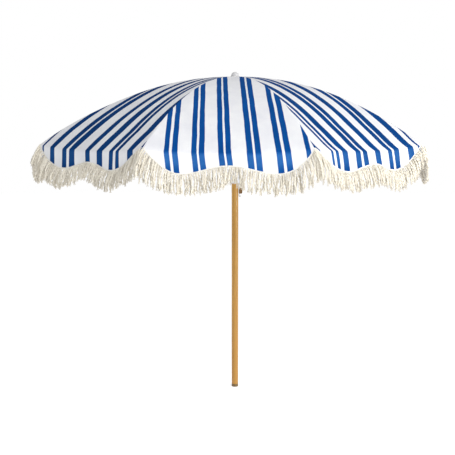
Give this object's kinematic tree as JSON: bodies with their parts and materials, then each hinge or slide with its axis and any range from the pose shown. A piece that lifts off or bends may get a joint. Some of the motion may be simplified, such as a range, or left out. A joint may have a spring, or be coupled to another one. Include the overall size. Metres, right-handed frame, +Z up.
{
  "type": "beach umbrella",
  "caption": "Round beach umbrella with a striped cloth canopy, scalloped fringed valance, folding ribs and a wooden pole.",
  "frame": {"origin": "centre of the pole's lower end face", "axes": "+Z up the pole; -Y towards the viewer, through the middle of the front gore; +X towards the catch lever"},
  "size_m": [1.7012, 1.7012, 1.498],
  "materials": {
    "pole_wood": "satin",
    "ferrule": "satin",
    "canvas": "matte",
    "cotton": "matte",
    "white_plastic": "satin",
    "tip_plastic": "satin",
    "catch_brown": "satin",
    "hook_steel": "satin",
    "steel": "satin"
  },
  "bodies": {
    "mast": {"pole": "pole_wood", "pole_ferrule": "ferrule", "top_hub": "white_plastic", "hub_ring": "steel", "finial_cap": "white_plastic", "finial_stud": "steel"},
    "runner": {"runner": "white_plastic", "runner_ring": "steel", "catch_pin": "steel"},
    "catch": {"catch_lever": "catch_brown", "catch_hook": "hook_steel"},
    "rib_1": {"rib_1": "steel", "rib_tip_1": "tip_plastic", "canopy_1": "canvas", "valance_1": "canvas", "fringe_1": "cotton"},
    "rib_2": {"rib_2": "steel", "rib_tip_2": "tip_plastic", "canopy_2": "canvas", "valance_2": "canvas", "fringe_2": "cotton"},
    "rib_3": {"rib_3": "steel", "rib_tip_3": "tip_plastic", "canopy_3": "canvas", "valance_3": "canvas", "fringe_3": "cotton"},
    "rib_4": {"rib_4": "steel", "rib_tip_4": "tip_plastic", "canopy_4": "canvas", "valance_4": "canvas", "fringe_4": "cotton"},
    "rib_5": {"rib_5": "steel", "rib_tip_5": "tip_plastic", "canopy_5": "canvas", "valance_5": "canvas", "fringe_5": "cotton"},
    "rib_6": {"rib_6": "steel", "rib_tip_6": "tip_plastic", "canopy_6": "canvas", "valance_6": "canvas", "fringe_6": "cotton"},
    "rib_7": {"rib_7": "steel", "rib_tip_7": "tip_plastic", "canopy_7": "canvas", "valance_7": "canvas", "fringe_7": "cotton"},
    "rib_8": {"rib_8": "steel", "rib_tip_8": "tip_plastic", "canopy_8": "canvas", "valance_8": "canvas", "fringe_8": "cotton"},
    "stretcher_1": {"stretcher_1": "steel"},
    "stretcher_2": {"stretcher_2": "steel"},
    "stretcher_3": {"stretcher_3": "steel"},
    "stretcher_4": {"stretcher_4": "steel"},
    "stretcher_5": {"stretcher_5": "steel"},
    "stretcher_6": {"stretcher_6": "steel"},
    "stretcher_7": {"stretcher_7": "steel"},
    "stretcher_8": {"stretcher_8": "steel"}
  },
  "joints": [
    {"name": "runner_slide", "type": "slide", "parent": "mast", "child": "runner", "axis": [0, 0, -1], "range_m": [0, 0.4828]},
    {"name": "catch_swing", "type": "hinge", "parent": "runner", "child": "catch", "pos_m": [0.0275, 0, 0.9885], "axis": [0, -1, 0], "range_deg": [0, 14], "stiffness_Nm_per_rad": 0.25},
    {"name": "rib_fold_1", "type": "hinge", "parent": "mast", "child": "rib_1", "pos_m": [0.00842, -0.02032, 1.46927], "axis": [0.9239, 0.3827, 0], "range_deg": [0, 66.5], "deforming": ["canopy_1", "valance_1", "fringe_1"]},
    {"name": "rib_fold_2", "type": "hinge", "parent": "mast", "child": "rib_2", "pos_m": [0.02032, -0.00842, 1.46927], "axis": [0.3827, 0.9239, 0], "range_deg": [0, 66.5], "deforming": ["canopy_2", "valance_2", "fringe_2"]},
    {"name": "rib_fold_3", "type": "hinge", "parent": "mast", "child": "rib_3", "pos_m": [0.02032, 0.00842, 1.46927], "axis": [-0.3827, 0.9239, 0], "range_deg": [0, 66.5], "deforming": ["canopy_3", "valance_3", "fringe_3"]},
    {"name": "rib_fold_4", "type": "hinge", "parent": "mast", "child": "rib_4", "pos_m": [0.00842, 0.02032, 1.46927], "axis": [-0.9239, 0.3827, 0], "range_deg": [0, 66.5], "deforming": ["canopy_4", "valance_4", "fringe_4"]},
    {"name": "rib_fold_5", "type": "hinge", "parent": "mast", "child": "rib_5", "pos_m": [-0.00842, 0.02032, 1.46927], "axis": [-0.9239, -0.3827, 0], "range_deg": [0, 66.5], "deforming": ["canopy_5", "valance_5", "fringe_5"]},
    {"name": "rib_fold_6", "type": "hinge", "parent": "mast", "child": "rib_6", "pos_m": [-0.02032, 0.00842, 1.46927], "axis": [-0.3827, -0.9239, 0], "range_deg": [0, 66.5], "deforming": ["canopy_6", "valance_6", "fringe_6"]},
    {"name": "rib_fold_7", "type": "hinge", "parent": "mast", "child": "rib_7", "pos_m": [-0.02032, -0.00842, 1.46927], "axis": [0.3827, -0.9239, 0], "range_deg": [0, 66.5], "deforming": ["canopy_7", "valance_7", "fringe_7"]},
    {"name": "rib_fold_8", "type": "hinge", "parent": "mast", "child": "rib_8", "pos_m": [-0.00842, -0.02032, 1.46927], "axis": [0.9239, -0.3827, 0], "range_deg": [0, 66.5], "deforming": ["canopy_8", "valance_8", "fringe_8"]},
    {"name": "stretcher_fold_1", "type": "hinge", "parent": "runner", "child": "stretcher_1", "pos_m": [0.01582, -0.02592, 1.032], "axis": [-0.9239, -0.3827, 0], "range_deg": [0, 37.56]},
    {"name": "stretcher_fold_2", "type": "hinge", "parent": "runner", "child": "stretcher_2", "pos_m": [0.02951, -0.00714, 1.032], "axis": [-0.3827, -0.9239, 0], "range_deg": [0, 37.56]},
    {"name": "stretcher_fold_3", "type": "hinge", "parent": "runner", "child": "stretcher_3", "pos_m": [0.02592, 0.01582, 1.032], "axis": [0.3827, -0.9239, 0], "range_deg": [0, 37.56]},
    {"name": "stretcher_fold_4", "type": "hinge", "parent": "runner", "child": "stretcher_4", "pos_m": [0.00714, 0.02951, 1.032], "axis": [0.9239, -0.3827, 0], "range_deg": [0, 37.56]},
    {"name": "stretcher_fold_5", "type": "hinge", "parent": "runner", "child": "stretcher_5", "pos_m": [-0.01582, 0.02592, 1.032], "axis": [0.9239, 0.3827, 0], "range_deg": [0, 37.56]},
    {"name": "stretcher_fold_6", "type": "hinge", "parent": "runner", "child": "stretcher_6", "pos_m": [-0.02951, 0.00714, 1.032], "axis": [0.3827, 0.9239, 0], "range_deg": [0, 37.56]},
    {"name": "stretcher_fold_7", "type": "hinge", "parent": "runner", "child": "stretcher_7", "pos_m": [-0.02592, -0.01582, 1.032], "axis": [-0.3827, 0.9239, 0], "range_deg": [0, 37.56]},
    {"name": "stretcher_fold_8", "type": "hinge", "parent": "runner", "child": "stretcher_8", "pos_m": [-0.00714, -0.02951, 1.032], "axis": [-0.9239, 0.3827, 0], "range_deg": [0, 37.56]}
  ],
  "couplings": [
    {"joint": "rib_fold_1", "follows": "runner_slide", "rad_per_m": 2.3859},
    {"joint": "rib_fold_2", "follows": "runner_slide", "rad_per_m": 2.3859},
    {"joint": "rib_fold_3", "follows": "runner_slide", "rad_per_m": 2.3859},
    {"joint": "rib_fold_4", "follows": "runner_slide", "rad_per_m": 2.3859},
    {"joint": "rib_fold_5", "follows": "runner_slide", "rad_per_m": 2.3859},
    {"joint": "rib_fold_6", "follows": "runner_slide", "rad_per_m": 2.3859},
    {"joint": "rib_fold_7", "follows": "runner_slide", "rad_per_m": 2.3859},
    {"joint": "rib_fold_8", "follows": "runner_slide", "rad_per_m": 2.3859},
    {"joint": "stretcher_fold_1", "follows": "runner_slide", "rad_per_m": 1.3432},
    {"joint": "stretcher_fold_2", "follows": "runner_slide", "rad_per_m": 1.3432},
    {"joint": "stretcher_fold_3", "follows": "runner_slide", "rad_per_m": 1.3432},
    {"joint": "stretcher_fold_4", "follows": "runner_slide", "rad_per_m": 1.3432},
    {"joint": "stretcher_fold_5", "follows": "runner_slide", "rad_per_m": 1.3432},
    {"joint": "stretcher_fold_6", "follows": "runner_slide", "rad_per_m": 1.3432},
    {"joint": "stretcher_fold_7", "follows": "runner_slide", "rad_per_m": 1.3432},
    {"joint": "stretcher_fold_8", "follows": "runner_slide", "rad_per_m": 1.3432}
  ]
}
